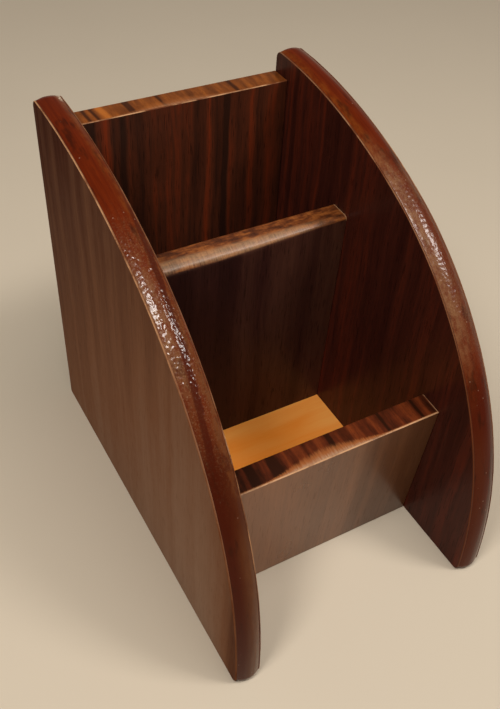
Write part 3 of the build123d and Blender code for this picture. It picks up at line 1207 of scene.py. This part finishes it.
    def arris_darkening(self, along: Value, sheet: Sheet) -> Value:
        """How far the pale line on an arris has gone over to its darker tone, from 0 to 1, along the
        bow.

        Args:
            along: Distance from the toe.
            sheet: Which of the two sheets.

        Returns:
            The darkening.
        """
        darkening, stretches = SideFinish.ARRIS[self.hand, sheet]
        for gain, first, full, fall, last in stretches:
            paler = along.step(first, full)
            if fall is not None:
                paler = paler * along.step(last, fall)
            darkening = darkening - paler * gain
        return darkening

    def build(self) -> list[bpy.types.Object]:
        """Build and dress the board's three pieces.

        Returns:
            The pieces.
        """
        brush = Brush(f"{self.name}_lacquer_finish")
        coat = replace(SideFinish.LACQUER[self.hand], seed=float(self.seed)).coat(brush)
        lacquer = SideFinish.LACQUER_GLOSS[self.hand].close(brush, coat)
        made = [dress(self.build_core(), lacquer, f"{self.name}_core")]
        for sheet in Sheet:
            made.append(dress(self.build_sheet(sheet), self.dress_sheet(sheet),
                              f"{self.name}_{sheet.value}_laminate"))
        return made


@dataclass(frozen=True)
class Section:
    """Section plane of a cross board: depth goes rearward through it, height up its front face."""

    setting: float
    lean_angle: float = 0.0
    rear: float = REAR

    def arris(self, height: float) -> float:
        """Where the front top arris lies, rearward, on a board of that height."""
        return self.rear - self.setting - height * math.tan(math.radians(self.lean_angle))

    def place(self, profile: np.ndarray) -> np.ndarray:
        """Turn (depth, height) into (rearward, up) on the stand.

        The front face leans forward by the lean angle a: rearward is depth cos a - height sin a,
        and up is depth sin a + height cos a, from the board's foot.

        Args:
            profile: Points (depth, height).

        Returns:
            Points (rearward, up), cut off at the table.
        """
        a = math.radians(self.lean_angle)
        foot = self.rear - self.setting
        depth, height = profile[..., 0], profile[..., 1]
        back = foot + depth * math.cos(a) - height * math.sin(a)
        up = depth * math.sin(a) + height * math.cos(a)
        return np.stack([back, up], axis=-1)


def rounded(corners: Sequence[tuple[float, float, float]], points: int = 7) -> np.ndarray:
    """Closed profile with each corner rounded.

    A corner of radius r becomes a circle's arc that starts and ends r / tan(half the corner's
    angle) from it.

    Args:
        corners: Each corner as (depth, height, radius).
        points: Points on each arc.

    Returns:
        Points (depth, height) in the corners' order.
    """
    place = np.array([corner[:2] for corner in corners], float)
    made = []
    for k, (x, y, radius) in enumerate(corners):
        here = np.array([x, y])
        back, on = place[k - 1] - here, place[(k + 1) % len(place)] - here
        back, on = back / np.linalg.norm(back), on / np.linalg.norm(on)
        half = math.acos(float(np.clip(back @ on, -1, 1))) / 2
        reach = radius / math.tan(half)
        middle = here + (back + on) / np.linalg.norm(back + on) * (radius / math.sin(half))
        first, last = here + back * reach - middle, here + on * reach - middle
        for share in np.linspace(0, 1, points):
            spoke = first * (1 - share) + last * share
            made.append(middle + spoke / np.linalg.norm(spoke) * radius)
    return np.array(made)


@dataclass
class CrossBoard:
    """What the back, the divider and the front board share: layers carried along the width."""

    half_length: float = 41.25
    core: float = 8.0
    laminate: float = 0.55
    step: float = 0.4
    under: float = 2.0  # how far a profile starts under its foot, where it is cut level
    sharp: float = 0.02  # radius of an arris as it was cut
    end_ease: float = 0.12  # easing of the two ends
    end_reach: float = 0.35  # how far in from an end it goes
    worn_reach: tuple[float, float] = (0.2, 0.5)  # of the wear at the right end
    waver_length: float = 4.0

    @property
    def thickness(self) -> float:
        """Whole thickness of a board."""
        return self.core + 2 * self.laminate

    def stations(self) -> np.ndarray:
        """Places along the width, close together at the two ends.

        Returns:
            The places, from left to right.
        """
        middle = np.arange(-self.half_length + 0.8, self.half_length - 0.8, self.step)
        close = np.array([0.0, 0.08, 0.2, 0.35, 0.55])
        return np.concatenate([-self.half_length + close, middle, (self.half_length - close)[::-1]])

    def carry(self, name: str, section: Section, profile: np.ndarray, cut: np.ndarray,
              low: float = 0.0, waver: float = 0.0, seed: int = 1) -> bpy.types.Object:
        """Layer of a cross board: one profile carried along the width, with eased ends.

        At station x the profile p becomes p - m(p) (e(x) + w d(x)), where m is its mitre, e the
        easing of the ends, which falls to 0 inwards, and w d a slow waver of its arrises.

        Args:
            name: Name of the piece.
            section: Section plane of the board.
            profile: Closed profile, clockwise, as (depth, height), or one such profile per station.
            cut: How much of a cut edge shows at each point of the profile.
            low: Height at which the foot is cut level.
            waver: Size of the waver, at the points that show the cut edge.
            seed: Seed of the waver.

        Returns:
            The layer.
        """
        stations = self.stations()
        inside = self.half_length - np.abs(stations)
        eased = self.end_ease * (1 - np.sqrt(np.clip(inside / self.end_reach, 0, 1)))
        profile = np.broadcast_to(profile, (len(stations), *profile.shape[-2:]))
        sides = mitres(profile)
        slow = drift(stations, self.waver_length, seed)
        bent = (cut > 0.5) * waver * (0.5 + 0.5 * slow[:, None])
        inset = eased[:, None] + bent
        rings = section.place(profile - sides * inset[:, :, None])
        rings[:, :, 1] = np.maximum(rings[:, :, 1], low)
        x = np.broadcast_to(stations[:, None, None], (*rings.shape[:2], 1))
        end = (1 - ease(inside, *self.worn_reach)) * (stations > 0)
        marks = {"cut": np.broadcast_to(cut[None, :], rings.shape[:2]), "end": end[:, None]}
        return shell(name, np.concatenate([x, rings], axis=2), marks)


@dataclass(frozen=True)
class BoardFinish:
    """Looks of a straight board: tones and figure of its sheets and of its top strip, and wear."""

    tones: tuple[RGB, RGB, RGB]
    strip_tones: tuple[RGB, RGB, RGB]
    strip_figure: tuple[Stripe, ...]
    figure: tuple[Stripe, ...] = ()
    front_ior: float = 1.16
    slope: float = -0.0015
    pores: float = 0.55
    contrast: float = 0.85
    strip_contrast: float = 0.55
    wear: float = 0.40
    worn_end: float = 0.3
    bleach_and_highlight: float = 0.3  # strength of the two tones below, near the strip's front arris
    # Pale tone at the strip's front arris: partly wear, partly painted highlight on that rounded arris
    bleached_highlight: RGB = (0.33, 0.105, 0.030)
    bare: RGB = (0.44, 0.27, 0.16)


BACK_FINISH = BoardFinish(
    tones=((0.027, 0.0092, 0.0052), (0.070, 0.0170, 0.0072), (0.195, 0.0265, 0.0065)),
    strip_tones=((0.050, 0.0130, 0.0040), (0.170, 0.0440, 0.0085), (0.370, 0.1050, 0.0160)),
    figure=(Stripe(-29.5, 5.0, 0.6), Stripe(-34.5, 5.0, -0.6), Stripe(-24.0, 4.0, -0.4),
            Stripe(-6.5, 7.0, 0.28), Stripe(9.0, 7.0, 0.20), Stripe(16.5, 4.0, -0.5)),
    strip_figure=(Stripe(-28.0, 5.5, 0.6), Stripe(-31.4, 1.6, -0.5), Stripe(-34.4, 2.4, -0.5),
                  Stripe(-18.8, 3.2, -0.7), Stripe(-7.0, 2.0, -0.4), Stripe(21.0, 2.6, -0.4)))
# Front board: its pale greyish tones are a hazy face with its sheen partly painted in; its slope
# darkens it towards the right end, painted shade from the right board
FRONT_FINISH = BoardFinish(
    tones=((0.120, 0.0450, 0.0175), (0.195, 0.0770, 0.0320), (0.290, 0.1150, 0.0480)),
    strip_tones=((0.024, 0.0062, 0.0023), (0.078, 0.0145, 0.0045), (0.190, 0.0370, 0.0085)),
    strip_figure=(Stripe(-29.4, 5.0, -0.8), Stripe(-21.3, 6.0, -0.9), Stripe(-16.0, 3.0, 0.3),
                  Stripe(1.0, 3.0, -0.5), Stripe(10.5, 10.0, 0.4), Stripe(20.5, 2.0, -0.5),
                  Stripe(35.5, 1.4, -0.8), Stripe(38.5, 3.0, 0.5)),
    front_ior=1.5, slope=0.0122, pores=0.2, contrast=0.6, strip_contrast=0.85, wear=0.62,
    worn_end=0.75, bleach_and_highlight=0.8)


@dataclass
class StraightBoard(CrossBoard):
    """A board with a square top edge: a front laminate up to the arris, a strip over the rest."""

    name: str = "back"
    front_kind: str = "front"
    rear_kind: str = "rear"
    setting: float = 9.1
    lean_angle: float = 0.0
    height: float = 127.7
    seed: int = 31
    finish: BoardFinish = BACK_FINISH
    front_arris: float = 0.20
    seam: float = 0.03  # radius where the front sheet and the strip meet
    rear_arris: float = 0.30
    front_cut: float = 0.16  # how far down from the top the front sheet shows its cut edge
    strip_cut: tuple[float, float] = (0.1, 0.22)  # the strip's: within its rear, under the top
    waver: float = 0.05

    def build(self) -> list[bpy.types.Object]:
        """Build and dress the board's two laminates and its strip, and dress its core.

        Returns:
            The three new pieces.
        """
        section = Section(self.setting, self.lean_angle)
        top = self.height / math.cos(math.radians(self.lean_angle))
        sheet, whole, foot, sharp = self.laminate, self.thickness, -self.under, self.sharp
        low = top - sheet
        front = rounded([(0, foot, sharp), (0, top, self.front_arris), (sheet, top, self.seam),
                         (sheet, foot, sharp)])
        front_cut = np.where(front[:, 1] > top - self.front_cut, 1.0, 0.0)
        rear = rounded([(whole - sheet, foot, sharp), (whole - sheet, low, sharp),
                        (whole, low, sharp), (whole, foot, sharp)], 4)
        strip = rounded([(sheet, low, sharp), (sheet, top, self.seam),
                         (whole, top, self.rear_arris), (whole, low, sharp)])
        behind, under = strip[:, 0] > whole - self.strip_cut[0], strip[:, 1] < top - self.strip_cut[1]
        strip_cut = np.where(behind & under, 1.0, 0.0)
        front_piece = self.carry(f"{self.name}_{self.front_kind}_laminate_sheet", section, front,
                                 front_cut, waver=self.waver, seed=self.seed)
        rear_piece = self.carry(f"{self.name}_{self.rear_kind}_laminate_sheet", section, rear,
                                np.zeros(len(rear)), seed=self.seed + 1)
        strip_piece = self.carry(f"{self.name}_top_strip_laminate", section, strip, strip_cut,
                                 waver=self.waver, seed=self.seed + 2)
        made = [dress(front_piece, self.sheet_finish("front", self.finish.figure),
                      f"{self.name}_{self.front_kind}_laminate"),
                dress(rear_piece, self.sheet_finish("rear", ()),
                      f"{self.name}_{self.rear_kind}_laminate"),
                dress(strip_piece, self.strip_finish(), f"{self.name}_top_strip")]
        brush = Brush(f"{self.name}_core_finish")
        paint_node(f"{self.name}_core", Gloss().close(brush, BareBoard().coat(brush)))
        return made

    def sheet_finish(self, kind: str, stripes: tuple[Stripe, ...]) -> bpy.types.Material:
        """Striped laminate with a pale cut edge along its top.

        Args:
            kind: "front" or "rear".
            stripes: Its marked stripes.

        Returns:
            The material.
        """
        looks = self.finish
        brush = Brush(f"{self.name}_{kind}_laminate_finish")
        figure = StripedLaminate(Grain.UP_ON_A_CROSS_BOARD, self.seed + len(kind), *looks.tones,
                                 stripes=stripes, contrast=looks.contrast, slope=(looks.slope, 0.0),
                                 pores=looks.pores)
        edge = CutEdge(float(self.seed), wear=looks.wear).coat(brush)
        ior = looks.front_ior if kind == "front" else 1.3
        return Gloss(ior=ior).close(brush, edge.over(figure.coat(brush), brush.mark("cut")))

    def strip_finish(self) -> bpy.types.Material:
        """Crosswise stripes of the top strip, paler near its front arris, with a pale worn end.

        The pale band at the front arris is partly wear and partly painted highlight.

        Returns:
            The material.
        """
        looks = self.finish
        brush = Brush(f"{self.name}_strip_finish")
        figure = StripedLaminate(Grain.OVER_A_TOP_EDGE, self.seed + 5.0, *looks.strip_tones,
                                 stripe_width=2.8, shine=0.36, stripes=looks.strip_figure,
                                 stretch=9.0, contrast=looks.strip_contrast, pores=0.2)
        edge = CutEdge(self.seed + 1.0, wear=looks.wear - 0.1).coat(brush)
        lower = figure.coat(brush)
        x, y, _ = brush.axes()
        arris = Section(self.setting, self.lean_angle).arris(self.height)
        streak = brush.noise(brush.point(x, y / 9, self.seed + 2.0), 0.5, 3.0, 0.65)
        reach = x.band(-3.0, 50.0) * 2.2 + 0.5
        behind = (y - arris) / reach + (streak - 0.5) * 1.6
        # Pale band at the front arris: partly wear, partly painted highlight
        for none, full, colour in ((1.9, 0.9, looks.bleached_highlight), (1.0, -0.1, looks.bare)):
            lower.colour = brush.mix(behind.step(none, full) * looks.bleach_and_highlight, lower.colour, colour)
        share = brush.mark("cut").most(brush.mark("end") * looks.worn_end)
        return Gloss(ior=1.2).close(brush, edge.over(lower, share))


@dataclass(frozen=True)
class Crest:
    """How a board's front top arris is worn: a bevel that ends in a nose below and a brow above."""

    depth: float
    drop: float
    nose: float
    brow: float


@dataclass
class Divider(CrossBoard):
    """The middle board: one laminate sheet bent over its top, which is worn sharper to the right."""

    setting: float = 52.3
    lean_angle: float = 1.6
    height: float = 97.0
    left_crest: Crest = Crest(3.9, 2.3, 3.0, 10.0)
    right_crest: Crest = Crest(1.3, 0.7, 0.9, 1.6)
    sharpens: tuple[float, float] = (0.0, 40.0)  # where the left crest goes over to the right one
    arc_points: int = 17
    heel: float = 1.0
    floor: float = 3.7
    seed: int = 53
    # Its negative slope lightens it towards the right end: painted light in the bay's shaded corner
    figure: StripedLaminate = StripedLaminate(
        Grain.UP_ON_A_CROSS_BOARD, dark=(0.019, 0.0061, 0.0055), middle=(0.034, 0.0105, 0.0082),
        light=(0.090, 0.0330, 0.0190), shine=0.36, slope=(-0.0085, 0.0), contrast=0.5)
    gloss: Gloss = Gloss(ior=1.22, tint=(1.0, 0.8, 0.65), lacquer_roughness=0.40)
    rubbed: tuple[RGB, RGB, RGB] = ((0.050, 0.0125, 0.0042), (0.140, 0.0350, 0.0080),
                                    (0.270, 0.0800, 0.0160))
    # Pale tone along the crest's bevel: partly wear, partly painted highlight
    bleached_highlight: RGB = (0.48, 0.27, 0.125)

    def build(self) -> list[bpy.types.Object]:
        """Build and dress the wrap, and dress the core.

        Returns:
            The new piece.
        """
        section = Section(self.setting, self.lean_angle)
        top = self.height / math.cos(math.radians(self.lean_angle))
        left, right = (self.wrap_profile(top, crest) for crest in (self.left_crest, self.right_crest))
        share = ease(self.stations(), *self.sharpens)[:, None, None]
        piece = self.carry("divider_wrap_laminate", section, left * (1 - share) + right * share,
                           np.zeros(len(left)), low=self.floor, seed=self.seed)
        brush = Brush("divider_wrap_finish")
        material = self.gloss.close(brush, self.wrap_coat(brush))
        made = [dress(piece, material, "divider_wrap")]
        brush = Brush("divider_core_finish")
        paint_node("divider_core", Gloss().close(brush, BareBoard().coat(brush)))
        return made

    def wrap_profile(self, top: float, crest: Crest) -> np.ndarray:
        """Profile of the bent sheet at one end of the board.

        Args:
            top: Height of the top above the table.
            crest: Wear of the front top arris there.

        Returns:
            Closed profile, clockwise, as (depth, height).
        """
        skin, whole, foot = self.laminate, self.thickness, self.floor - self.under
        corners = np.array([(0, foot), (0, top - crest.drop), (crest.depth, top), (whole, top),
                            (whole, foot)])
        radii = np.array([self.sharp, crest.nose, crest.brow, self.heel, self.sharp])
        count, half = self.arc_points, self.arc_points // 2 + 1
        outer = rounded([(*corner, radius) for corner, radius in zip(corners, radii)], count)
        within = corners - mitres(corners) * skin
        inner = rounded([(*corner, max(radius - skin, self.sharp)) for corner, radius in
                         zip(within[::-1], radii[::-1])], count)
        return np.concatenate([outer[half:-half], inner[half:-half]])

    def wrap_coat(self, brush: Brush) -> Coat:
        """Dark laminate, its crest rubbed orange-brown, its bevel pale with wear and painted highlight.

        Args:
            brush: Brush of the material.

        Returns:
            The wrap's coat.
        """
        lower = replace(self.figure, seed=float(self.seed)).coat(brush)
        x, y, z = brush.axes()
        mottle = brush.noise(brush.point(x / 3, y, z + 9.0), 1.6, 3.0, 0.6)
        streak = brush.noise(brush.point(x, y / 9, 5.0), 0.55, 3.0, 0.6)
        tone = mottle.step(0.30, 0.70) * 0.9 + (streak - 0.5) * 0.7 + 0.05
        rubbed = brush.ramp(tone, tuple(zip((0.0, 0.5, 1.0), self.rubbed)))
        crest = (z - x.step(-10.0, 40.0) * 1.8 - (self.height - 3.0)).step(-0.3, 0.6)
        lower.colour = brush.mix(crest, lower.colour, rubbed)
        # Pale band on the bevel, fading towards the right end: partly wear, partly painted highlight
        front = Section(self.setting, self.lean_angle).arris(self.height)
        behind = y - front + (x + 20.0).most(0.0) * 0.03 + (streak - 0.5) * 1.6
        bleached_highlight = behind.step(5.0, 3.4) * behind.step(0.0, 1.3)
        bleached_highlight = bleached_highlight * (0.75 + (streak - 0.5) * 1.4) * x.step(42.0, 12.0)
        lower.colour = brush.mix(crest * bleached_highlight.most(0.0) * 0.52, lower.colour, self.bleached_highlight)
        lower.lacquer = crest * 0.85
        edge = CutEdge(float(self.seed), wear=0.7).coat(brush)
        return edge.over(lower, brush.mark("end") * z.step(self.height - 2.0, self.height - 0.8))


class FloorBoard:
    """The thin raw board between the back and the front board, which keeps its CAD shape."""

    def build(self) -> list[bpy.types.Object]:
        """Dress the board in raw plywood.

        Returns:
            No new piece.
        """
        brush = Brush("raw_floor_finish")
        paint_node("floor_board", Gloss(ior=1.45).close(brush, RawPlywood().coat(brush)))
        return []


class HiddenJoints:
    """Dowels and panel pins, which the CAD nodes show as they are."""

    def build(self) -> list[bpy.types.Object]:
        """Dress the dowels and the pins.

        Returns:
            No new piece.
        """
        brush = Brush("beech_finish")
        beech = Gloss().close(brush, Beech().coat(brush))
        for node in ("back_dowels", "divider_dowels", "front_dowels"):
            paint_node(node, beech)
        brush = Brush("drawn_steel_finish")
        paint_node("floor_pins", Gloss(metallic=1.0).close(brush, DrawnSteel().coat(brush)))
        return []


# ---- Studio --------------------------------------------------------------------------------------


@dataclass(frozen=True)
class Lamp:
    """Soft square lamp: the direction to it, its distance, size and power; glosses may mirror it."""

    name: str
    towards: RGB
    distance: float
    size: float
    power: float
    mirrored: bool = True

    def hang(self, target: Vector) -> None:
        """Hang the lamp so that it faces the target.

        Args:
            target: Point that it lights, in metres.
        """
        data = bpy.data.lights.new(self.name, "AREA")
        data.shape, data.size, data.energy = "SQUARE", self.size, self.power
        lamp = bpy.data.objects.new(self.name, data)
        way = Vector(self.towards).normalized()
        lamp.location = target + way * self.distance
        lamp.rotation_euler = way.to_track_quat("Z", "Y").to_euler()
        lamp.visible_glossy = self.mirrored
        bpy.context.scene.collection.objects.link(lamp)


@dataclass(frozen=True)
class Studio:
    """Camera, pale floor, soft lamps and a surround that is pale at its horizon and dim overhead.

    The eye and the fade of the floor are in millimetres, the floor's reach, its depth under the
    table and the target of the lamps in metres.
    """

    eye: RGB = (-120.74, -182.843, 269.906)
    look: RGB = (0.38237, 0.61842, -0.68655)
    up: RGB = (0.30455, 0.61715, 0.72552)
    focal_length: float = 43.799
    floor_tone: RGB = (0.62, 0.515, 0.385)
    floor_reach: float = 9.0
    floor_depth: float = 0.0002
    floor_fade: tuple[float, float] = (350.0, 1000.0)
    horizon: RGB = (0.40, 0.32, 0.235)
    overhead: RGB = (0.12, 0.115, 0.105)
    horizon_band: tuple[float, float] = (0.06, 0.42)
    target: RGB = (0.0, 0.0, 0.07)
    lamps: tuple[Lamp, ...] = (
        Lamp("lamp_left", (-0.50, -0.20, 0.84), 0.9, 0.21, 3.7),
        Lamp("lamp_front_right", (0.42, -0.36, 0.83), 0.9, 0.195, 2.8),
        Lamp("lamp_overhead", (0.06, -0.26, 0.96), 1.0, 0.60, 4.2, False),
    )

    def place_camera(self) -> None:
        """Camera at the photograph's viewing angle; its sensor size is that of the image's height."""
        data = bpy.data.cameras.new("view")
        data.sensor_width, data.lens = 36.0, self.focal_length
        data.clip_start, data.clip_end = 0.01, 50.0
        camera = bpy.data.objects.new("view", data)
        back, up = -Vector(self.look).normalized(), Vector(self.up)
        right = up.cross(back).normalized()
        camera.matrix_world = Matrix.Translation(Vector(self.eye) * MM) @ Matrix(
            (right, back.cross(right), back)).transposed().to_4x4()
        bpy.context.scene.collection.objects.link(camera)
        bpy.context.scene.camera = camera

    def lay_floor(self) -> None:
        """One large pale sheet at table height, which goes over to the horizon's tone far away."""
        reach = self.floor_reach
        mesh = bpy.data.meshes.new("studio_floor")
        mesh.from_pydata([(-reach, -reach, 0), (reach, -reach, 0), (reach, reach, 0),
                          (-reach, reach, 0)], [], [(0, 1, 2, 3)])
        brush = Brush("studio_floor_finish")
        x, y, z = brush.axes()
        cloud = brush.noise(brush.point(x, y, z), 60.0, 2.0)
        tone = brush.mix(cloud, tuple(part * 0.97 for part in self.floor_tone), self.floor_tone)
        near = brush.node("ShaderNodeBsdfDiffuse", {}, {"Color": tone})
        far = brush.node("ShaderNodeEmission", {}, {"Color": (*self.horizon, 1.0)})
        away = ((x * x + y * y) ** 0.5).step(*self.floor_fade)
        light = brush.node("ShaderNodeLightPath", {}, {})
        seen = [Value(brush, light.outputs[kind]) for kind in
                ("Is Camera Ray", "Is Glossy Ray", "Is Transmission Ray")]
        share = away * seen[0].most(seen[1]).most(seen[2])
        both = brush.node("ShaderNodeMixShader", {}, {0: share, 1: Value(brush, near.outputs[0]),
                                                      2: Value(brush, far.outputs[0])})
        brush.node("ShaderNodeOutputMaterial", {}, {"Surface": Value(brush, both.outputs[0])})
        mesh.materials.append(brush.material)
        sheet = bpy.data.objects.new("studio_floor", mesh)
        sheet.location.z = -self.floor_depth
        bpy.context.scene.collection.objects.link(sheet)

    def hang_surround(self) -> None:
        """World whose tone goes from the horizon's to the dimmer one overhead."""
        brush = Brush("surround", bpy.data.worlds)
        place = brush.node("ShaderNodeTexCoord", {}, {})
        parts = brush.node("ShaderNodeSeparateXYZ", {}, {0: Value(brush, place.outputs["Generated"])})
        height = Value(brush, parts.outputs[2])
        tone = brush.mix(height.step(*self.horizon_band), self.horizon, self.overhead)
        sky = brush.node("ShaderNodeBackground", {}, {"Color": tone})
        brush.node("ShaderNodeOutputWorld", {}, {"Surface": Value(brush, sky.outputs[0])})
        bpy.context.scene.world = brush.material

    def build(self) -> None:
        """Set up the view, the floor, the lamps and the surround."""
        bpy.context.scene.view_settings.view_transform = "Standard"
        self.place_camera()
        self.lay_floor()
        for lamp in self.lamps:
            lamp.hang(Vector(self.target))
        self.hang_surround()


# ---- The stand -----------------------------------------------------------------------------------


def main() -> None:
    """Build the studio and the stand, piece by piece."""
    logging.basicConfig(level=logging.INFO, format="%(message)s")
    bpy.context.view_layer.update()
    Studio().build()
    parts = (SideBoard(Hand.LEFT, seed=11), SideBoard(Hand.RIGHT, seed=23),
             StraightBoard(name="back"), Divider(),
             StraightBoard(name="front", front_kind="outer", rear_kind="inner", setting=115.7,
                           lean_angle=4.1, height=57.7, seed=71, finish=FRONT_FINISH),
             FloorBoard(), HiddenJoints())
    for part in parts:
        made = part.build()
        log.info("%s: %d new pieces", type(part).__name__, len(made))
    bpy.context.view_layer.update()


if __name__ == "__main__":
    main()
